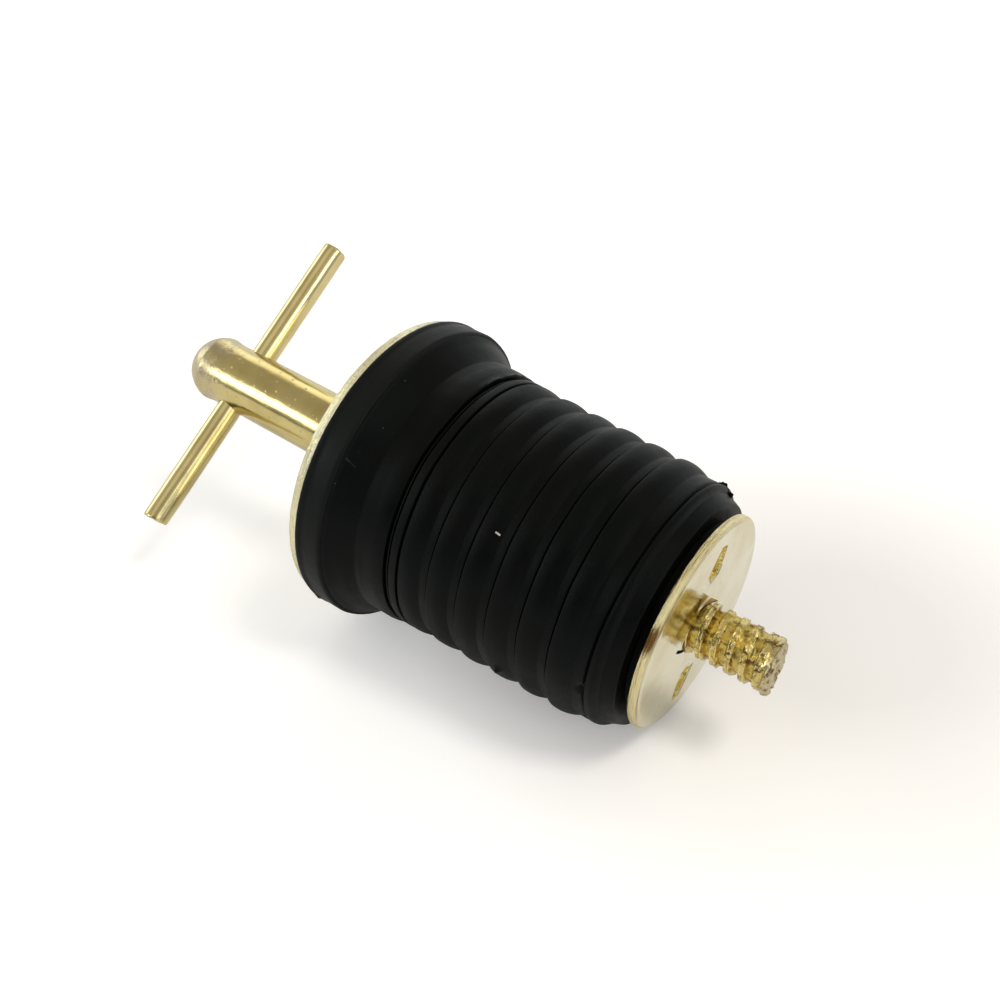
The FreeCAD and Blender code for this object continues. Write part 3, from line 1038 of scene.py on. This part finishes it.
def rib_corners(index):
    """A rib like a shingle: a thin crease, a steep wall, a crown that falls away, and a flat land."""
    radius = rib_radius(index)
    land = FIRST_RIB_RADIUS if index == 0 else rib_radius(index - 1) - RIB_LAND_DROP
    crease = FIRST_CREASE + index * RIB_PITCH
    wall_top = (crease + RIB_WALL_WIDTH, radius - RIB_WALL_DROP)
    crown_end = (crease + RIB_CROWN_END, radius - RIB_LAND_DROP)
    corners = [
        (crease - CREASE_FLANK, land, 0.08),
        (crease, radius - CREASE_DEPTH, 0.03),
        (*wall_top, 0.1),
    ]
    corners += bulged(wall_top, crown_end, RIB_CROWN, 12)[:-1]
    corners.append((*crown_end, 0.06))
    return corners


def nose_corners():
    crease_middle = TAIL_CREASE_START + TAIL_CREASE_WIDTH / 2
    band_end = (END_BAND_END, TAIL_RADIUS)
    nose_edge = (END_BAND_END + NOSE_EDGE_LENGTH, NOSE_EDGE_RADIUS)
    corners = [
        (TAIL_START, TAIL_RADIUS, 0.1),
        (TAIL_CREASE_START, TAIL_RADIUS, 0.06),
        (crease_middle, TAIL_RADIUS - TAIL_CREASE_DEPTH, 0.03),
        (TAIL_CREASE_START + TAIL_CREASE_WIDTH, TAIL_RADIUS, 0.08),
        (*band_end, 0.2),
    ]
    corners += bulged(band_end, nose_edge, NOSE_EDGE_ROUND, 5)
    corners += [
        (NOSE_END, NOSE_END_RADIUS, 0.08),
        (NOSE_END + 0.05, NOSE_SEAT_RADIUS, 0.05),
        (BUNG_LENGTH, NOSE_SEAT_RADIUS, 0.05),
        (BUNG_LENGTH, BORE_RADIUS, 0.1),
        (1.0, BORE_RADIUS, 0),
    ]
    return corners


def bung_corners():
    corners = flange_corners() + slit_corners()
    for index in range(RIB_COUNT):
        corners += rib_corners(index)
    return corners + nose_corners()


def moulded(points, stations, radii, angles):
    """Rubber's unevenness: soft waves, flash beside the slits, lumps and a slanted last crease."""
    outside = np.clip((radii - 11.5) / 1.0, 0, 1) * np.clip(stations / 0.6, 0, 1)
    waves = 0.05 * noise(points, 5.0, 61) + 0.018 * noise(points, 1.6, 62)
    shift = 0.05 * noise(points, 4.0, 63)
    slant = np.cos(np.radians(angles - TAIL_CREASE_SLANT_ANGLE))
    shift = shift + TAIL_CREASE_SLANT * slant * near(stations, TAIL_CREASE_START + 0.2, 1.6)
    flash = near(stations, SLIT_STARTS[0] - 0.1, 0.35) * near_angle(angles, 160, 50)
    ragged = 0.3 * flash * (0.7 + 0.5 * noise(points, 0.7, 64))
    for station, reach, angle, spread, height in LUMPS:
        lump = near(stations, station, reach) * near_angle(angles, angle, spread)
        ragged = ragged + height * lump * (1 + 0.4 * noise(points, 0.5, 65))
    radii = radii + outside * (waves + ragged - 0.03)
    return stations + shift * outside * (stations < BUNG_LENGTH - 1), radii


def flash_strip():
    """A torn strip of flash that stands on the nose, along the screw."""
    stations = np.linspace(*FLASH_ENDS, FLASH_ROWS)
    share = np.linspace(0, 1, FLASH_ROWS)
    nose_stations = (END_BAND_END, END_BAND_END + NOSE_EDGE_LENGTH, NOSE_END)
    nose_radii = (TAIL_RADIUS, NOSE_EDGE_RADIUS, NOSE_END_RADIUS)
    surface = np.interp(stations, nose_stations, nose_radii)
    along = np.column_stack([stations, stations, stations])
    height = FLASH_HEIGHT * (0.35 + 0.65 * share) * (1 + 0.6 * noise(along, 0.22, 66))
    sides = []
    for side, lift in ((-0.5, -0.5), (-0.35, height), (0.35, height), (0.5, -0.5)):
        across = np.full(FLASH_ROWS, side * FLASH_THICKNESS)
        sides.append(spun(np.column_stack([surface + lift, across, stations]), FLASH_ANGLE))
    return bar("flash", sides)


def rubber_bung(material):
    *outside, bore_end = bung_corners()
    bore = rounded_path([outside[-1], bore_end], BORE_STEP)
    path = np.vstack([rounded_path(outside, SKIN_STEP), bore[1:]])
    points, faces = turned(path, BUNG_COLUMNS, moulded)
    bung = scratch_object("bung", points, faces)
    for side in (1, -1):
        shell, shell_faces = prong_shell(side, PRONG_CLEARANCE)
        pocket = scratch_object("pocket", spun(shell, HANDLE_TURN), shell_faces)
        bung = combine(bung, pocket, "DIFFERENCE")
    mesh = merged([bung, flash_strip()])
    piece = finish_object("rubber_bung_moulding", mesh, 0, None, "rubber_bung",
                          material)
    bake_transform(piece)
    return piece


# Stage, light and camera

# The floor's glow is weaker and warmer near the plug's nose: a painted shadow and painted warm light
# round the plug
FLOOR_SIZE = 4.0
FLOOR_COLOUR = (0.83, 0.835, 0.855)
FLOOR_ROUGHNESS = 0.6
FLOOR_SPECULAR = 0.2
FLOOR_GLOW = (0.10, 0.37)
FLOOR_PAINTED_SHADOW_MIDDLE = (0.039, 0.024, 0)
FLOOR_GLOW_REACH = (0.012, 0.05)
FLOOR_PAINTED_WARMTH = (1.0, 0.88, 0.80)
FLOOR_PALE = (1.0, 0.99, 0.98)
FLOOR_MIRRORED = 0.1
CAMERA_PLACE = Vector((67.649, -85.334, 91.069)) * MM
CAMERA_AIM = Vector((-0.48178, 0.66849, -0.56657))
CAMERA_ROLL = 0.347
CAMERA_LENS = 42.216
SENSOR = 36.0

# The room: brightness near the horizon and overhead, then patches of it. A patch has an azimuth from
# +X, an elevation, the radii of its even middle and of its outer edge, and then the brightness that a
# window adds, or the share of the light that a shade takes away.
HORIZON_LEVEL = 1.0
OVERHEAD_LEVEL = 0.45
OVERHEAD_ELEVATION = 58
WALL_COLOUR = (0.94, 0.975, 1.0)
OVERHEAD_COLOUR = (1.0, 0.93, 0.80)
TINT_START = 0.35
WINDOWS = (
    (-10, 30, 5, 12, 2.8),
    (-129, 22, 6, 12, 3.8),
    (124, 38, 6, 20, 1.1),
    (-104, 37, 3, 8, 3.0),
    (-176, 22, 8, 18, 1.5),
    (-28, 34, 3, 9, 1.0),
    (-100, 60, 8, 24, 0.3),
    (0, 60, 8, 24, 0.5),
)
SHADES = (
    (-76, 16, 18, 38, 0.85),
    (-126, -2, 4, 14, 0.75),
    (-110, 0, 8, 20, 0.5),
    (6, -2, 14, 26, 0.5),
)
KEY_AZIMUTH = 5
KEY_ELEVATION = 61
KEY_DISTANCE = 0.8
KEY_SIZE = 0.2
KEY_POWER = 1.9
KEY_COLOUR = (1.0, 0.93, 0.82)
PLUG_MIDDLE = Vector((0, 0, 0.015))


def add_floor():
    """A pale floor whose glow is seen directly and, faintly, in the brass. It lights nothing. Near the
    plug's nose the glow is dimmer and warmer: a painted shadow and painted warm light.
    """
    nodes = Nodes("pale_floor")
    rays = nodes.add("ShaderNodeLightPath").outputs
    seen = nodes.math("MAXIMUM", rays["Is Camera Ray"], rays["Is Transmission Ray"])
    shown = nodes.math("MAXIMUM", seen, nodes.times(rays["Is Glossy Ray"], FLOOR_MIRRORED))
    place = nodes.add("ShaderNodeNewGeometry").outputs["Position"]
    # Painted shadow and painted warm light: the glow is dimmer and warmer near the plug's nose
    away = nodes.measure("DISTANCE", place, FLOOR_PAINTED_SHADOW_MIDDLE)
    glow = nodes.ramp(away, *FLOOR_GLOW_REACH, *FLOOR_GLOW)
    tint = nodes.mix(nodes.ramp(away, *FLOOR_GLOW_REACH), FLOOR_PAINTED_WARMTH, FLOOR_PALE)
    nodes.shade(Emission_Color=tint, Emission_Strength=nodes.times(shown, glow))
    nodes.shade(Base_Color=FLOOR_COLOUR, Roughness=FLOOR_ROUGHNESS, Specular_IOR_Level=FLOOR_SPECULAR)
    mesh = bpy.data.meshes.new("floor")
    half = FLOOR_SIZE / 2
    corners = [(-half, -half, 0), (half, -half, 0), (half, half, 0), (-half, half, 0)]
    mesh.from_pydata(corners, [], [(0, 1, 2, 3)])
    mesh.materials.append(nodes.material)
    linked("floor", mesh)


def add_key_light():
    """A soft square lamp that faces the middle of the plug."""
    lamp = bpy.data.lights.new("key", "AREA")
    lamp.shape = "SQUARE"
    lamp.size = KEY_SIZE
    lamp.energy = KEY_POWER
    lamp.color = KEY_COLOUR
    place = KEY_DISTANCE * towards(KEY_AZIMUTH, KEY_ELEVATION)
    item = linked("key", lamp)
    item.location = place
    item.rotation_euler = (PLUG_MIDDLE - place).to_track_quat("-Z", "Y").to_euler()
    item.visible_glossy = False


def towards(azimuth, elevation):
    """Unit vector towards a point of the room, from angles in degrees."""
    azimuth, elevation = math.radians(azimuth), math.radians(elevation)
    across = math.cos(elevation)
    return Vector((across * math.cos(azimuth), across * math.sin(azimuth), math.sin(elevation)))


class Room(Tree):
    """The world's nodes: brightness as a function of the direction."""

    def __init__(self):
        world = bpy.data.worlds.new("room")
        bpy.context.scene.world = world
        world.use_nodes = True
        super().__init__(world.node_tree)
        self.direction = self.add("ShaderNodeTexCoord").outputs["Generated"]

    def eased(self, value, low, high, start, end):
        return self.ramp(value, low, high, start, end, "SMOOTHSTEP")

    def patch(self, azimuth, elevation, inner, outer, level):
        """The level inside a round patch, fading to 0 at its outer edge."""
        facing = self.measure("DOT_PRODUCT", self.direction, towards(azimuth, elevation))
        low, high = math.cos(math.radians(outer)), math.cos(math.radians(inner))
        return self.eased(facing, low, high, 0, level)


def add_world():
    """A bright room: pale walls, windows, the viewer's dark corner and dark low walls."""
    room = Room()
    height = room.add("ShaderNodeSeparateXYZ", Vector=room.direction).outputs["Z"]
    top = math.sin(math.radians(OVERHEAD_ELEVATION))
    level = room.eased(height, 0, top, HORIZON_LEVEL, OVERHEAD_LEVEL)
    for window in WINDOWS:
        level = room.plus(level, room.patch(*window))
    for shade in SHADES:
        level = room.times(level, room.math("SUBTRACT", 1.0, room.patch(*shade)))
    background = room.tree.nodes["Background"].inputs
    tint = room.mix(room.eased(height, TINT_START, top, 0, 1), WALL_COLOUR, OVERHEAD_COLOUR)
    room.set(background["Color"], tint)
    room.set(background["Strength"], level)


def add_camera():
    camera = bpy.data.cameras.new("camera")
    camera.sensor_width = SENSOR
    camera.lens = CAMERA_LENS
    camera.clip_start = 0.005
    item = linked("camera", camera)
    turn = CAMERA_AIM.to_track_quat("-Z", "Y").to_matrix().to_4x4()
    roll = Matrix.Rotation(math.radians(CAMERA_ROLL), 4, "Z")
    item.matrix_world = Matrix.Translation(CAMERA_PLACE) @ turn @ roll
    bpy.context.scene.camera = item


def main():
    turned_brass = brass("turned_brass", SHANK_PALE, SHANK_DARK, shine=(0.10, 0.19),
                         streak=(3, 3, 0.25), streak_depth=0.010, pit_depth=0.03,
                         extras=(tarnished_head, golden_thread))
    drawn_brass = brass("drawn_brass", PIN_PALE, PIN_DARK, shine=(0.10, 0.2), streak=(0.2, 3, 3),
                        streak_depth=0.005, pit_depth=0.0)
    stamped_brass = brass("stamped_brass", SHEET_PALE, SHEET_DARK, shine=(0.08, 0.2), streak=(1, 1, 1),
                          streak_depth=0.006, pit_depth=0.02, extras=(sheared_sheet,))
    handle_screw(turned_brass)
    cross_pin(drawn_brass)
    top_washer(stamped_brass)
    end_plate(stamped_brass)
    rubber_bung(black_rubber())
    add_floor()
    add_world()
    add_key_light()
    add_camera()
    bpy.context.scene.view_settings.view_transform = "Standard"


main()
